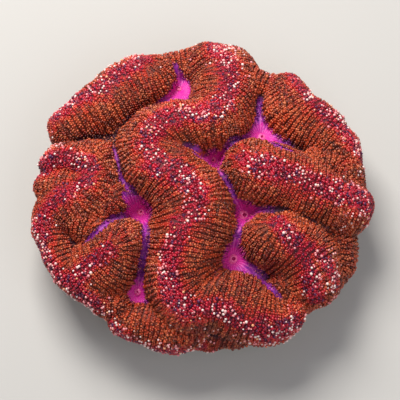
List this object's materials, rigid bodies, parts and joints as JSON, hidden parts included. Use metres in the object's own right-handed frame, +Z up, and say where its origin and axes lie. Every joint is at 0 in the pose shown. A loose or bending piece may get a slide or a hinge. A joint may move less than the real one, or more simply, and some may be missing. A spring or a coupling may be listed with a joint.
{
  "type": "brain coral",
  "caption": "Fleshy brain coral head: thick winding ribbed ridges with narrow valleys and small mouths, on a bowl-shaped foot cut off flat.",
  "frame": {"origin": "middle of the overall width and depth, in the plane of the flat cut at the coral's foot", "axes": "+Z up, square to the cut; +X along the coral's longest side; +Y to its far side as seen in the picture"},
  "size_m": [0.1384, 0.1312, 0.0501],
  "materials": {
    "coral_flesh": "moist velvety flesh, fine grains in rows, orange brown with crimson crests",
    "valley_flesh": "smooth moist flesh of the valley floors and mouths, magenta to violet",
    "pearl_tips": "small glossy pale pink beads on the crests"
  },
  "bodies": {
    "root": {"brain_coral": "coral_flesh"}
  },
  "joints": []
}
